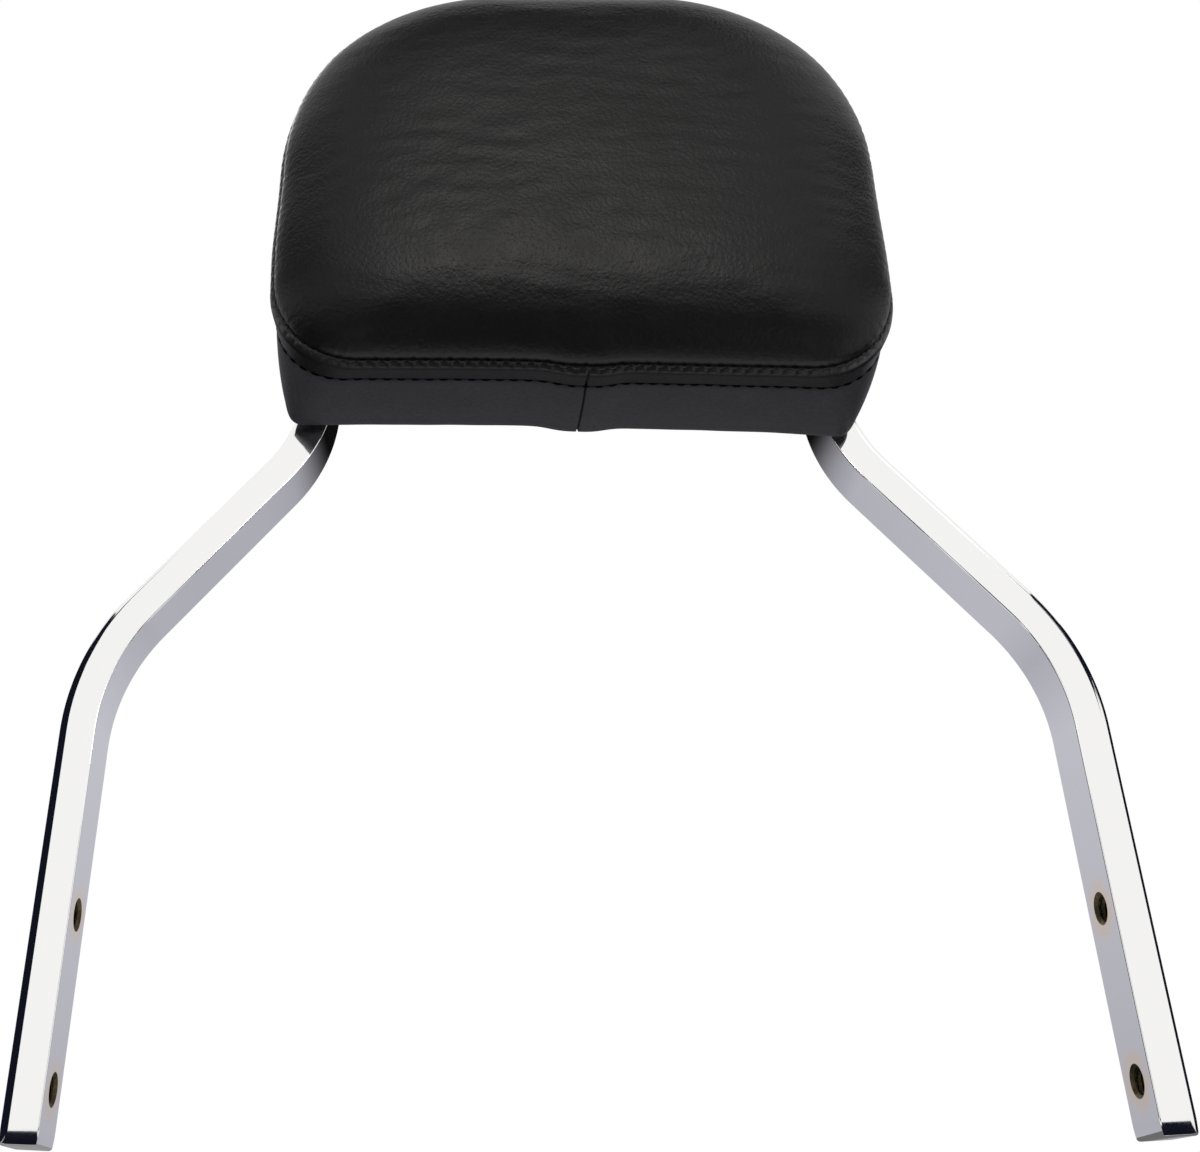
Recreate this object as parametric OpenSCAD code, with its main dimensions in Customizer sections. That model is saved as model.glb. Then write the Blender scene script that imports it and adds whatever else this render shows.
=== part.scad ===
// Motorcycle backrest: a hoop of flat bar that bolts to the sides of a rear fender,
// and an upholstered pad that is screwed to a plate between its uprights.
// X runs across the machine, the pad faces -Y and Z runs up the hoop.
// The origin lies midway between the mouths of the two lower bolt holes.

/* [Flat bar] */
// Width of the bar across the machine
bar_t = 10; // [8:0.5:12]
// Depth of the bar, front to back
bar_d = 17.5; // [15:0.5:22]
// Rounding of the bar's outer front edge
edge_front_r = 2.6; // [1:0.2:3]
// Rounding of the bar's three other long edges
edge_r = 0.5; // [0.4:0.1:1.2]

/* [Hoop] */
// Gap between the inner faces at the feet
foot_gap = 273; // [255:1:300]
// Angle of the lower legs from the vertical
leg_splay = 3; // [0:0.5:5]
// Height of the lower bends' inner corner above the feet
knee_h = 123.5; // [115:0.5:140]
// Angle of the sloping arms from the vertical
arm_slope = 41; // [36:1:46]
// Gap between the inner faces of the two uprights
upright_gap = 139; // [132:1:142]
// Length of the straight part of each upright
upright_h = 58.7; // [52:0.1:66]
// Radius of the lower bends, on the inner face
knee_r = 55; // [30:1:100]
// Radius of the upper bends, on the inner face
shoulder_r = 50; // [30:1:55]
// Radius of the two top corners, on the inner face
corner_r = 28; // [20:1:34]

/* [Fender bolt holes] */
// Distance of the lower hole from the foot, along the leg
hole_foot = 14; // [12:0.5:20]
// Distance between the two holes of a leg
hole_pitch = 43.5; // [35:0.5:50]
// Diameter of the hole inside its thread
hole_d = 6.8; // [5:0.1:8.5]
// Depth of the blind hole
hole_depth = 7.5; // [6:0.1:7.8]
// Diameter of the countersunk mouth
mouth_d = 8.6; // [8.6:0.1:10]

/* [Pad] */
// Width of the pad at its front seam
pad_w = 169; // [160:1:180]
// Height of the pad at its front seam
pad_h = 124.5; // [120:0.5:130]
// Distance from the middle of the cross plate down to the pad's lower seam
pad_drop = 44.2; // [42:0.1:48]
// Depth of the boxing, from the front seam to the pad's back
boxing_d = 34; // [30:1:45]
// Rise of the crowned front panel above its seam
crown = 16; // [8:0.5:22]
// Radius of the lower corners at the front seam
low_r = 24; // [16:1:30]
// Radius of the large upper corners
top_r = 62; // [40:1:68]
// Width of the pad at its back edge
back_w = 162; // [156:1:168]
// How far the back edge hangs below the front seam
back_drop = 3; // [0:0.5:5]
// Radius of the lower corners at the back edge
back_r = 7; // [4:1:12]
// Distance between the front seam and the second row of stitches
welt_w = 8; // [5:0.5:10]
// Rise of the rolled welt between the two rows
welt_h = 1.6; // [0.5:0.1:2.5]
// Thickness of the cover material
skin = 1.2; // [0.8:0.1:1.8]
// Width of the cover's hem on the back of the board
hem_w = 16; // [10:1:20]

/* [Board and back panel] */
// Thickness of the base board
board_t = 9; // [8:0.5:12]
// Thickness of the back panel
panel_t = 1.5; // [1:0.1:3]
// Distance from the back panel's edge to the pad's back edge
panel_inset = 5; // [3:0.5:8]
// Clearance between soft and hard pieces of the pad
pad_fit = 0.2; // [0.1:0.05:0.4]

/* [Cross plate] */
// Thickness of the plate
plate_t = 4; // [3:0.5:6]
// Distance from the plate's corners to the bends of the uprights
plate_margin = 3; // [1:0.5:6]
// Depth of the waist in the plate's upper and lower edge
plate_waist = 7; // [3:0.5:8]
// Leg of the weld between plate and upright
weld = 3; // [2:0.5:4]

/* [Pad screws] */
// Distance between the screws across the pad
screw_dx = 76; // [60:1:90]
// Distance between the screws up the pad
screw_dz = 28; // [24:1:30]
// Diameter of the screws
screw_d = 6; // [5:0.5:6.5]
// Length of the screws under the head
screw_l = 18; // [15:1:20]
// Clearance of the screw holes, on the diameter
screw_fit = 0.6; // [0.4:0.1:1]
// Thickness of the flat washers
washer_t = 1.6; // [1:0.1:2]
// Thickness of the spring washers
spring_t = 1.5; // [1:0.1:2]
// Length of the barrel of the T nuts
barrel_l = 7; // [5:0.5:7.5]

/* [Staples] */
// Number of staples round the hem
staple_n = 22; // [12:1:30]
// Width of a staple
staple_w = 9; // [6:0.5:12]
// Thickness of the staple wire
staple_t = 0.6; // [0.4:0.05:0.8]
// Length of the staple's legs
staple_l = 5; // [3:0.5:6]

/* [Hidden] */
$fn = 48;
eps = 0.01;

// Lengths of the straights between the bends of the hoop's inner line
foot_z = -hole_foot * cos(leg_splay);
knee_x = foot_gap / 2 - knee_h * tan(leg_splay);
shoulder_x = upright_gap / 2;
shoulder_h = knee_h + (knee_x - shoulder_x) / tan(arm_slope);
knee_cut = knee_r * tan((arm_slope - leg_splay) / 2);
shoulder_cut = shoulder_r * tan(arm_slope / 2);
leg_l = knee_h / cos(leg_splay) - knee_cut;
arm_l = (shoulder_h - knee_h) / cos(arm_slope) - knee_cut - shoulder_cut;
corner_z = foot_z + shoulder_h + shoulder_cut + upright_h;
half_top = shoulder_x - corner_r;
plate_h = upright_h - 2 * plate_margin;
plate_z = corner_z - upright_h / 2;
pad_z = plate_z - pad_drop;

// Faces of the pad's layers, from the back to the front
front_y = -bar_d / 2;
panel_y = front_y - panel_t;
board_y = panel_y - board_t;
hem_y = panel_y - staple_t - pad_fit;
seam_y = front_y - boxing_d;
plate_back_y = front_y + plate_t;
washer_y = plate_back_y + washer_t;
head_y = washer_y + spring_t;

// Screws, nuts and washers share these sizes
hole_clear = screw_d + screw_fit;
thread_gap = 0.1;
board_play = 2;
washer_od = 2 * screw_d;
head_af = 10 / 6 * screw_d;
head_h = 4 / 6 * screw_d;
barrel_d = screw_d + 2;
flange_d = 3 * screw_d;
flange_t = 1.2;

// Points in each bend of the hoop and in each rounded edge of its bar
bend_n = 14;
edge_n = 3;

// Points in each stretch of a pad ring
flat_n = 5;
low_n = 7;
top_n = 10;
crown_n = 8;

function mix(a, b, t) = a + (b - a) * t;
function arc(c, r, a0, a1, n) = [for (i = [0:n]) c + r * [cos(mix(a0, a1, i / n)), sin(mix(a0, a1, i / n))]];

// Half of the pad's outline, from the middle of its lower edge to the middle of its top
function half_outline(w, z0, z1, rl, rt) = concat(
    [for (i = [0:flat_n - 1]) [(w / 2 - rl) * i / flat_n, z0]],
    arc([w / 2 - rl, z0 + rl], rl, -90, 0, low_n),
    arc([w / 2 - rt, z1 - rt], rt, 0, 90, top_n),
    [[0, z1]]);

function both_halves(h) = concat(h, [for (i = [len(h) - 2:-1:1]) [-h[i][0], h[i][1]]]);

// The pad's outline at a depth t, from 0 at the front seam to 1 at the back, grown outward by d
function outline(t, d) = both_halves(half_outline(
    mix(pad_w, back_w, t) + 2 * d,
    pad_z - back_drop * t - d,
    pad_z + pad_h + d,
    max(mix(low_r, back_r, t) + d, 0.6),
    max(top_r + d, 0.6)));

function at_depth(ring, y) = [for (p = ring) [p[0], y, p[1]]];
function band(t, d) = at_depth(outline(t, d), mix(seam_y, hem_y, t));

function total(l, i = 0) = i == len(l) - 1 ? l[i] : l[i] + total(l, i + 1);
function middle(ring) = total(ring) / len(ring);

// A closed solid through rings that all have the same number of points
module skin_rings(rings, closed = false) {
    n = len(rings[0]);
    m = len(rings);
    last = closed ? m - 1 : m - 2;
    sides = [for (j = [0:last], i = [0:n - 1])
        let (a = j * n, b = (j + 1) % m * n, k = (i + 1) % n)
        each [[a + i, b + i, b + k], [a + i, b + k, a + k]]];
    caps = closed ? [] : [for (i = [0:n - 1])
        let (k = (i + 1) % n, z = (m - 1) * n)
        each [[i, k, m * n], [z + k, z + i, m * n + 1]]];
    polyhedron(concat([for (r = rings) each r], [middle(rings[0]), middle(rings[m - 1])]),
        concat(sides, caps), convexity = 6);
}

// Rings of the crown, from its edge inward, inset by d below the cover's outer face
function crown_scale(i) = 1 - pow(i / crown_n, 1.25) * 0.94;
function crown_rise(s) = pow(1 - pow(s, 3.4), 0.62);
function crown_rings(d) = [for (i = [0:crown_n])
    let (s = crown_scale(i), mid = pad_z + pad_h / 2, y = seam_y - (crown - d) * crown_rise(s))
    [for (p = outline(0, -d)) [p[0] * s, y, mid + (p[1] - mid) * s]]];

function reversed(l) = [for (i = [len(l) - 1:-1:0]) l[i]];

// Section of the bar: x runs outward from its inner face, y runs to the back
function bar_corner(x, y, r, a0) = arc([x, y], r, a0, a0 + 90, edge_n);
bar_section = concat(
    bar_corner(edge_r, edge_r - bar_d / 2, edge_r, 180),
    bar_corner(bar_t - edge_front_r, edge_front_r - bar_d / 2, edge_front_r, 270),
    bar_corner(bar_t - edge_r, bar_d / 2 - edge_r, edge_r, 0),
    bar_corner(edge_r, bar_d / 2 - edge_r, edge_r, 90));

// Stations along the hoop's inner line: a point, and the angle of the outward direction there
function out_dir(a) = [cos(a), sin(a)];
function along(p, a, l) = p + l * [-sin(a), cos(a)];
function bend(c, r, a0, a1, n) = [for (i = [0:n]) let (a = mix(a0, a1, i / n)) [c + r * out_dir(a), a]];
knee_mid = along([foot_gap / 2, foot_z], leg_splay, leg_l) - knee_r * out_dir(leg_splay);
arm_start = knee_mid + knee_r * out_dir(arm_slope);
shoulder_mid = along(arm_start, arm_slope, arm_l) + shoulder_r * out_dir(arm_slope);
half_line = concat(
    [[[foot_gap / 2, foot_z], leg_splay]],
    bend(knee_mid, knee_r, leg_splay, arm_slope, bend_n),
    bend(shoulder_mid, -shoulder_r, arm_slope, 0, bend_n),
    bend([half_top, corner_z], corner_r, 0, 90, bend_n));
hoop_line = concat(half_line, [for (s = reversed(half_line)) [[-s[0][0], s[0][1]], 180 - s[1]]]);

function bar_ring(s) = [for (q = bar_section) let (p = s[0] + q[0] * out_dir(s[1])) [p[0], q[1], p[1]]];

module at_foot() {
    translate([foot_gap / 2, 0, foot_z]) rotate([0, -leg_splay, 0]) children();
}

// A blind hole with a countersunk mouth, drilled outward from the inner face
module fender_hole() {
    sink = (mouth_d - hole_d) / 2;
    rotate([0, 90, 0]) {
        translate([0, 0, -eps]) cylinder(d = hole_d, h = hole_depth + eps);
        translate([0, 0, -eps]) cylinder(d1 = mouth_d + 2 * eps, d2 = hole_d, h = sink + eps);
    }
}

module hoop() {
    color("silver") difference() {
        skin_rings([for (s = hoop_line) bar_ring(s)]);
        for (side = [0, 1], s = [hole_foot, hole_foot + hole_pitch])
            mirror([side, 0, 0]) at_foot() translate([0, 0, s]) fender_hole();
    }
}

module at_screws(y) {
    for (sx = [-1, 1], sz = [-1, 1])
        translate([sx * screw_dx / 2, y, plate_z + sz * screw_dz / 2]) rotate([-90, 0, 0]) children();
}

// The plate is waisted by two large arcs between its welded ends
module cross_plate() {
    chord = upright_gap * 0.36;
    waist_r = (chord * chord + plate_waist * plate_waist) / (2 * plate_waist);
    color("silver") difference() {
        translate([-upright_gap / 2, front_y, plate_z - plate_h / 2]) cube([upright_gap, plate_t, plate_h]);
        for (s = [-1, 1])
            translate([0, front_y - 1, plate_z + s * (plate_h / 2 - plate_waist + waist_r)])
                rotate([-90, 0, 0]) cylinder(r = waist_r, h = plate_t + 2, $fn = 128);
        at_screws(front_y - 1) cylinder(d = hole_clear, h = plate_t + 2);
    }
}

module weld_beads() {
    color("silver") for (side = [0, 1])
        mirror([side, 0, 0])
            translate([-upright_gap / 2, plate_back_y, plate_z - plate_h / 2 + weld])
                linear_extrude(plate_h - 2 * weld) intersection() {
                    circle(weld);
                    square(weld);
                }
}

module back_panel() {
    color("dimgray") difference() {
        translate([0, front_y, 0]) rotate([90, 0, 0]) linear_extrude(panel_t)
            polygon(outline(1, -panel_inset));
        at_screws(panel_y - 1) cylinder(d = hole_clear, h = panel_t + 2);
    }
}

// The board's edge is rebated behind for the hem and its staples
module base_board() {
    rebate = panel_y - hem_y + skin + pad_fit;
    front_t = (board_y - seam_y) / (hem_y - seam_y);
    color("burlywood") difference() {
        union() {
            translate([0, panel_y, 0]) rotate([90, 0, 0]) linear_extrude(board_t)
                polygon(outline(1, -skin - hem_w - pad_fit));
            translate([0, panel_y - rebate, 0]) rotate([90, 0, 0]) linear_extrude(board_t - rebate)
                polygon(outline(front_t, -skin - board_play));
        }
        at_screws(board_y - 1) cylinder(d = barrel_d, h = board_t + 2);
        staple_legs(pad_fit / 4);
    }
}

module foam_core() {
    inset = skin + pad_fit;
    board_t_at = (board_y - pad_fit - seam_y) / (hem_y - seam_y);
    color("khaki") difference() {
        skin_rings(concat(
            [band(board_t_at, -inset - 1), band(board_t_at * 0.5, -inset)],
            [band(0.04, -inset)],
            crown_rings(inset + pad_fit)));
        at_screws(board_y - flange_t - 2 * pad_fit) cylinder(d = flange_d + 1, h = 10);
    }
}

// Outer face of the boxing: the rolled welt, the second row of stitches and the turned back edge
welt_t = welt_w / (hem_y - seam_y);
function welt_rise(u) = welt_h * sin(180 * u) - 0.5 * (1 - sin(180 * u));
boxing_out = concat(
    [for (i = [0:6]) [welt_t * i / 6, welt_rise(i / 6)]],
    [[welt_t * 1.2, 0.2], [0.45, 0.7], [0.7, 0.6], [0.88, 0.1], [0.96, -0.5], [1, -1.5]]);

module cover_boxing() {
    inner_t = (hem_y - skin - seam_y) / (hem_y - seam_y);
    color("black") difference() {
        skin_rings(concat(
            [for (p = boxing_out) band(p[0], p[1])],
            [at_depth(outline(1, -skin - hem_w), hem_y)],
            [at_depth(outline(1, -skin - hem_w), hem_y - skin)],
            [band(inner_t, -skin - 0.5), band(0.5, -skin), band(0.02, -skin)],
            [band(0, -skin)]), closed = true);
        staple_legs(0);
    }
}

module cover_front() {
    gap = 0.02;
    color("black") skin_rings(concat(
        reversed([for (r = crown_rings(0)) [for (p = r) [p[0], p[1] - gap, p[2]]]]),
        [for (r = crown_rings(skin)) [for (p = r) [p[0], p[1] - gap, p[2]]]]));
}

module t_nuts() {
    color("silver") at_screws(board_y) difference() {
        union() {
            cylinder(d = barrel_d, h = barrel_l);
            translate([0, 0, -flange_t]) cylinder(d = flange_d, h = flange_t);
        }
        translate([0, 0, -flange_t - 1]) cylinder(d = screw_d + thread_gap, h = barrel_l + flange_t + 2);
    }
}

module pad_screws() {
    color("silver") at_screws(head_y) {
        translate([0, 0, -screw_l]) cylinder(d = screw_d, h = screw_l);
        intersection() {
            cylinder(d = head_af / cos(30), h = head_h, $fn = 6);
            cylinder(d1 = head_af + 4, d2 = head_af * 0.92, h = head_h);
        }
    }
}

module flat_washers() {
    color("silver") at_screws(plate_back_y) difference() {
        cylinder(d = washer_od, h = washer_t);
        translate([0, 0, -1]) cylinder(d = screw_d + screw_fit / 2, h = washer_t + 2);
    }
}

module spring_washers() {
    color("silver") at_screws(washer_y) difference() {
        cylinder(d = head_af, h = spring_t);
        translate([0, 0, -1]) cylinder(d = screw_d + screw_fit / 2, h = spring_t + 2);
        rotate([0, 30, 35]) translate([0, -0.4, -spring_t]) cube([head_af, 0.8, 4 * spring_t]);
    }
}

// Staples stand along the middle of the hem, evenly spaced round it
hem_line = outline(1, -skin - hem_w / 2);
function ring_gap(r, i) = norm(r[(i + 1) % len(r)] - r[i]);
function run_to(r, i) = i == 0 ? 0 : run_to(r, i - 1) + ring_gap(r, i - 1);
function side_of(r, s, i = 0) = s < ring_gap(r, i) || i == len(r) - 1 ? [i, s] : side_of(r, s - ring_gap(r, i), i + 1);

module at_staples() {
    around = run_to(hem_line, len(hem_line) - 1) + ring_gap(hem_line, len(hem_line) - 1);
    for (k = [0:staple_n - 1]) {
        hit = side_of(hem_line, around * (k + 0.5) / staple_n);
        a = hem_line[hit[0]];
        b = hem_line[(hit[0] + 1) % len(hem_line)];
        p = a + (b - a) * hit[1] / norm(b - a);
        translate([p[0], hem_y, p[1]]) rotate([0, -atan2(b[1] - a[1], b[0] - a[0]), 0]) children();
    }
}

module staple_legs(gap) {
    at_staples() for (s = [-1, 1])
        translate([s * (staple_w - staple_t) / 2 - staple_t / 2 - gap, -staple_l - gap, -staple_t / 2 - gap])
            cube([staple_t + 2 * gap, staple_l + gap, staple_t + 2 * gap]);
}

module staples() {
    color("silver") {
        at_staples() translate([-staple_w / 2, 0, -staple_t / 2]) cube([staple_w, staple_t, staple_t]);
        staple_legs(0);
    }
}

hoop();
cross_plate();
weld_beads();
back_panel();
base_board();
foam_core();
cover_boxing();
cover_front();
t_nuts();
pad_screws();
flat_washers();
spring_washers();
staples();
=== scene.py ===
# %% [markdown]
# # A motorcycle backrest in Blender
# The object is a hoop of chromed flat bar with an upholstered pad. Its solids come from the CAD frame, in
# metres. We load them first.

# %% Load the frame
import math
import bmesh
import bpy
import numpy as np
from mathutils import Matrix, Vector


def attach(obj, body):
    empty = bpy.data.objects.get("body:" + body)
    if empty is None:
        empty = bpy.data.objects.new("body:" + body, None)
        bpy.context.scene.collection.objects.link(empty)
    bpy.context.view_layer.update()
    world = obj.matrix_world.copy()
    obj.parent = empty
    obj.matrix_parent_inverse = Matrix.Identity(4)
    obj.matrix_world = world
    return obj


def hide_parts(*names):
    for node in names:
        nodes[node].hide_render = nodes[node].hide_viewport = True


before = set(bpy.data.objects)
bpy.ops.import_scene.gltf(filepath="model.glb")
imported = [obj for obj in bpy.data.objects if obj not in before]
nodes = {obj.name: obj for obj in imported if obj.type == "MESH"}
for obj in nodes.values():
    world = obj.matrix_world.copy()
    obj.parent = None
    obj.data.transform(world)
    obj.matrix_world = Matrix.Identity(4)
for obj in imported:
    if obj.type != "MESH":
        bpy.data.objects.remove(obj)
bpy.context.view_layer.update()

scene = bpy.context.scene

# %% [markdown]
# ## The camera
# The photograph was taken from close by, from a little below the feet and looking up along the hoop. Its
# place was worked out from the hoop's straight edges and its four bolt holes. The picture is a crop, so the
# lens is shifted sideways a little. A camera's own axes are its right, its up and the way back from it.

# %% Camera
PICTURE_WIDTH = 1200
FOCAL_PIXELS = 1626.3
MIDDLE_PIXEL = 476
SENSOR_MM = 36
EYE = Vector((-0.0368, -0.4240, -0.0410))
RIGHT = Vector((0.99986, -0.01386, -0.00893))
UP = Vector((0.00282, -0.39001, 0.92081))
BACK = Vector((-0.01625, -0.92071, -0.38992))

lens = bpy.data.cameras.new("camera")
lens.sensor_width = SENSOR_MM
lens.lens = FOCAL_PIXELS * SENSOR_MM / PICTURE_WIDTH
lens.shift_x = (PICTURE_WIDTH / 2 - MIDDLE_PIXEL) / PICTURE_WIDTH
lens.clip_start = 0.01
camera = bpy.data.objects.new("camera", lens)
scene.collection.objects.link(camera)
camera.matrix_world = Matrix.Translation(EYE) @ Matrix((RIGHT, UP, BACK)).transposed().to_4x4()
scene.camera = camera
scene.view_settings.view_transform = "Standard"
print("lens of", round(lens.lens, 2), "mm")

# %% [markdown]
# ## Shader sums in plain Python
# A procedural finish is arithmetic on patterns. Wiring every sum by hand hides the idea, so a small class
# wraps a socket and overloads the operators: `1 - mask * 0.3` then adds its own Math nodes. Colours are mixed
# with the Mix node, because a Math node would turn them grey. Every other node comes from one method, which
# takes the node's type, its settings and what goes into its sockets.

# %% Sockets that can be added and multiplied
class Value:
    """A socket of numbers."""

    def __init__(self, graph, socket):
        self.graph = graph
        self.socket = socket

    def maths(self, operation, *inputs):
        return self.graph.node("ShaderNodeMath", {"operation": operation}, dict(enumerate(inputs)))

    def __add__(self, other):
        return self.maths("ADD", self, other)

    def __sub__(self, other):
        return self.maths("SUBTRACT", self, other)

    def __rsub__(self, other):
        return self.maths("SUBTRACT", other, self)

    def __mul__(self, other):
        return self.maths("MULTIPLY", self, other)

    def __truediv__(self, other):
        return self.maths("DIVIDE", self, other)

    def __abs__(self):
        return self.maths("ABSOLUTE", self)

    __radd__ = __add__
    __rmul__ = __mul__

    def larger(self, other):
        return self.maths("MAXIMUM", self, other)

    def step(self, low, high):
        """0 below low, 1 above high, and smooth between them."""
        settings = {"interpolation_type": "SMOOTHSTEP"}
        return self.graph.node("ShaderNodeMapRange", settings, {"Value": self, "From Min": low, "From Max": high})


class Graph:
    """The nodes of one material or of the world."""

    def __init__(self, tree):
        self.tree = tree
        tree.nodes.clear()

    def node(self, kind, settings=None, inputs=None, output=0):
        made = self.tree.nodes.new(kind)
        for name, setting in (settings or {}).items():
            if name == "stops":
                self.set_stops(made.color_ramp, setting)
            else:
                setattr(made, name, setting)
        for name, given in (inputs or {}).items():
            if isinstance(given, Value):
                self.tree.links.new(given.socket, made.inputs[name])
            else:
                made.inputs[name].default_value = given
        return Value(self, made.outputs[output]) if made.outputs else None

    def set_stops(self, ramp, stops):
        while len(ramp.elements) < len(stops):
            ramp.elements.new(1)
        for element, (place, colour) in zip(ramp.elements, stops):
            element.position = place
            element.color = colour

    def place(self):
        """Where a point lies in the frame, in metres."""
        return self.node("ShaderNodeTexCoord", output="Object")

    def noise(self, where, grain, detail=2):
        """Noise whose blobs are about grain metres across."""
        return self.node("ShaderNodeTexNoise", {}, {"Vector": where, "Scale": 1 / grain, "Detail": detail})

    def cells(self, where, grain, feature="F1"):
        """0 in the middle of each cell, growing towards its border."""
        return self.node("ShaderNodeTexVoronoi", {"feature": feature}, {"Vector": where, "Scale": 1 / grain},
                         "Distance")

    def scaled(self, where, scale):
        """A scale under 1 stretches the pattern along that axis."""
        return self.node("ShaderNodeMapping", {}, {"Vector": where, "Scale": scale})

    def split(self, where):
        parts = self.tree.nodes.new("ShaderNodeSeparateXYZ")
        self.tree.links.new(where.socket, parts.inputs[0])
        return [Value(self, out) for out in parts.outputs]

    def mix(self, first, second, factor):
        """Two colours, mixed by a value from 0 to 1."""
        return self.node("ShaderNodeMix", {"data_type": "RGBA"}, {0: factor, 6: first, 7: second}, 2)

    def bump(self, height, distance, normal=None):
        """Small relief: height 1 stands distance metres proud of height 0."""
        inputs = {"Height": height, "Distance": distance}
        if normal:
            inputs["Normal"] = normal
        return self.node("ShaderNodeBump", {}, inputs)


print("ready to write finishes as sums")

# %% [markdown]
# ## From patterns to a finish
# A finish is one material with the Principled shader. What is the same all over the surface is set as a
# number on the shader's own socket, and only what varies is linked.

# %% A finish
FINISHES = {}


def finish(name, pattern):
    """A material. pattern(graph) gives the values and links of the shader's sockets."""
    if name not in FINISHES:
        material = bpy.data.materials.new(name)
        material.use_nodes = True
        graph = Graph(material.node_tree)
        shader = graph.node("ShaderNodeBsdfPrincipled", {}, pattern(graph))
        graph.node("ShaderNodeOutputMaterial", {}, {"Surface": shader})
        FINISHES[name] = material
        print("finish:", name, "with", len(material.node_tree.nodes), "nodes")
    return FINISHES[name]


def grey(level, red=1.0, blue=1.0):
    return (level * red, level, level * blue, 1)


# %% [markdown]
# ## Light
# The photograph has soft studio light and a pure white ground. The world is white where the camera or a
# mirror-like surface sees it, and a plain soft grey where it lights the object. One lamp stands in front, a
# weak one on the right, and one behind.

# %% World
FILL = 0.42

world = bpy.data.worlds.new("studio")
world.use_nodes = True
scene.world = world
sky = Graph(world.node_tree)
seen = [sky.node("ShaderNodeLightPath", output=name)
        for name in ("Is Camera Ray", "Is Glossy Ray", "Is Transmission Ray")]
plain = sky.node("ShaderNodeBackground", {}, {"Color": grey(1), "Strength": FILL})
white = sky.node("ShaderNodeBackground", {}, {"Color": grey(1), "Strength": 1})
mixed = sky.node("ShaderNodeMixShader", {}, {
    0: seen[0].larger(seen[1]).larger(seen[2]), 1: plain, 2: white})
sky.node("ShaderNodeOutputWorld", {}, {"Surface": mixed})
print("world: white to the eye, fill light", FILL)

# %% [markdown]
# The lamp in front is narrow and tall, and its soft reflection is the pale patch on the crown of the pad. It
# stays near the middle, because further out the arms of the hoop would mirror it as a white stripe.

# %% Lamps
MIDDLE = Vector((0, 0, 0.16))


def lamp(name, place, size, watts, tint=(1, 1, 1)):
    light = bpy.data.lights.new(name, "AREA")
    light.shape = "RECTANGLE"
    light.size, light.size_y = size
    light.energy = watts
    light.color = tint
    holder = bpy.data.objects.new(name, light)
    scene.collection.objects.link(holder)
    holder.location = place
    holder.rotation_euler = (MIDDLE - Vector(place)).to_track_quat("-Z", "Y").to_euler()
    return holder


lamp("key_lamp", (0.0, -1.5, 0.79), (0.24, 0.58), 4.7, (1.0, 0.955, 0.925))
lamp("side_lamp", (1.3, -0.9, 1.3), (0.5, 0.9), 0.7)
lamp("rear_lamp", (-0.5, 1.3, 1.5), (1.0, 0.7), 7)
print("three lamps")

# %% [markdown]
# The floor touches the feet. Seen from below it is clear, because the photograph's camera stands lower than
# the feet. It fades out far from the object, so that no horizon shows. Mirrors don't see it: the cards of the
# next step stand for what the chrome shows there.

# %% Floor
FOOT_Z = -0.01398
FLOOR_GAP = 0.0004
FLOOR_REACH = (0.9, 2.2)


def studio_piece(name, corners, material):
    mesh = bpy.data.meshes.new(name)
    mesh.from_pydata(corners, [], [tuple(range(len(corners)))])
    piece = bpy.data.objects.new(name, mesh)
    scene.collection.objects.link(piece)
    mesh.materials.append(material)
    return piece


def shader_material(name, build):
    material = bpy.data.materials.new(name)
    material.use_nodes = True
    graph = Graph(material.node_tree)
    graph.node("ShaderNodeOutputMaterial", {}, {"Surface": build(graph)})
    return material


def floor_look(graph):
    far = graph.node("ShaderNodeVectorMath", {"operation": "LENGTH"}, {0: graph.place()}, "Value")
    under = graph.node("ShaderNodeNewGeometry", output="Backfacing")
    paper = graph.node("ShaderNodeBsdfDiffuse", {}, {"Color": grey(0.86)})
    clear = graph.node("ShaderNodeBsdfTransparent")
    return graph.node("ShaderNodeMixShader", {}, {
        0: far.step(*FLOOR_REACH).larger(under), 1: paper, 2: clear})


HALF_FLOOR = 2.4
floor_z = FOOT_Z - FLOOR_GAP
floor = studio_piece("floor", [(x * HALF_FLOOR, y * HALF_FLOOR, floor_z) for x, y in
                               ((-1, -1), (1, -1), (1, 1), (-1, 1))], shader_material("floor_paper", floor_look))
floor.visible_glossy = False
print("floor at", round(floor_z, 5), "m")

# %% [markdown]
# Chrome shows its surroundings and has hardly a colour of its own, so most of its look is what stands round
# it. Cards do that work: the camera and the soft light don't see them, and they only show in the chrome and
# in the leather's gloss. The largest is a wall behind, in soft lavender greys like a studio wall in half
# shadow.

# %% Wall
def unseen(piece):
    """Leaves a card in reflections only."""
    piece.visible_camera = piece.visible_diffuse = piece.visible_shadow = False
    return piece


def card(name, middle, along, up, material):
    """A rectangle from its middle, half its width and half its height."""
    m, a, u = Vector(middle), Vector(along), Vector(up)
    return unseen(studio_piece(name, [m - a - u, m + a - u, m + a + u, m - a + u], material))


def card_look(colour):
    return lambda graph: graph.node("ShaderNodeEmission", {}, {"Color": colour, "Strength": 1})


WALL_Y, WALL_HALF_WIDTH, WALL_FOOT, WALL_TOP = 1.6, 2.4, -1.0, 2.7
WALL_TONES = {0.18: 0.52, 0.265: 0.45, 0.31: 0.48, 0.365: 0.53, 0.42: 0.57}
WALL_LAVENDER = 0.06
WALL_STOPS = [(share, (tone, tone, tone + WALL_LAVENDER, 1)) for share, tone in WALL_TONES.items()]
WALL_STOPS.append((1.0, grey(1)))


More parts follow.
